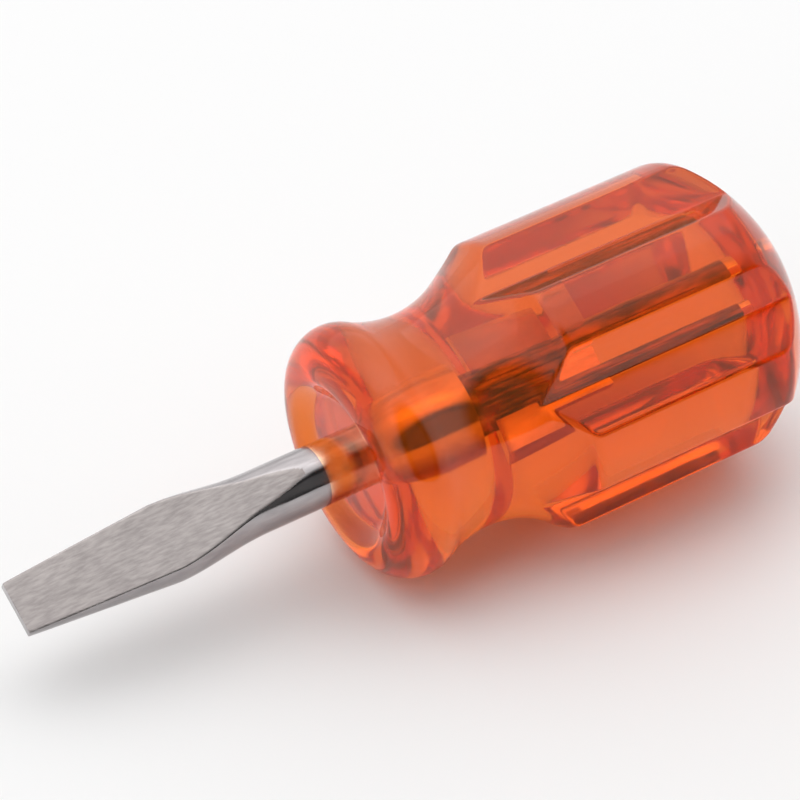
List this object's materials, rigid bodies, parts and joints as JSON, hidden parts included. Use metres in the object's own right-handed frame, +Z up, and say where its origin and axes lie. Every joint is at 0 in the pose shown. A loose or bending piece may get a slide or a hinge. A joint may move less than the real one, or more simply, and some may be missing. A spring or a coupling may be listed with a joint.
{
  "type": "stubby slotted screwdriver",
  "caption": "Short-bladed slotted screwdriver with a thick fluted amber plastic handle and a flared, ground steel blade.",
  "frame": {"origin": "middle of the blade's tip edge, on the tool's axis", "axes": "+X along the tool's axis from the tip to the handle's dome; +Z up, through the middle of a flute, with the opposite flute underneath; +Y completes the right-handed frame"},
  "size_m": [0.0893, 0.0316, 0.0302],
  "materials": {
    "amber_plastic": "polished clear amber plastic, tinted right through",
    "ground_steel": "bare tool steel: fine lengthwise grinding marks on the flats, polished round shank"
  },
  "bodies": {
    "root": {"handle": "amber_plastic", "blade": "ground_steel"}
  },
  "joints": []
}
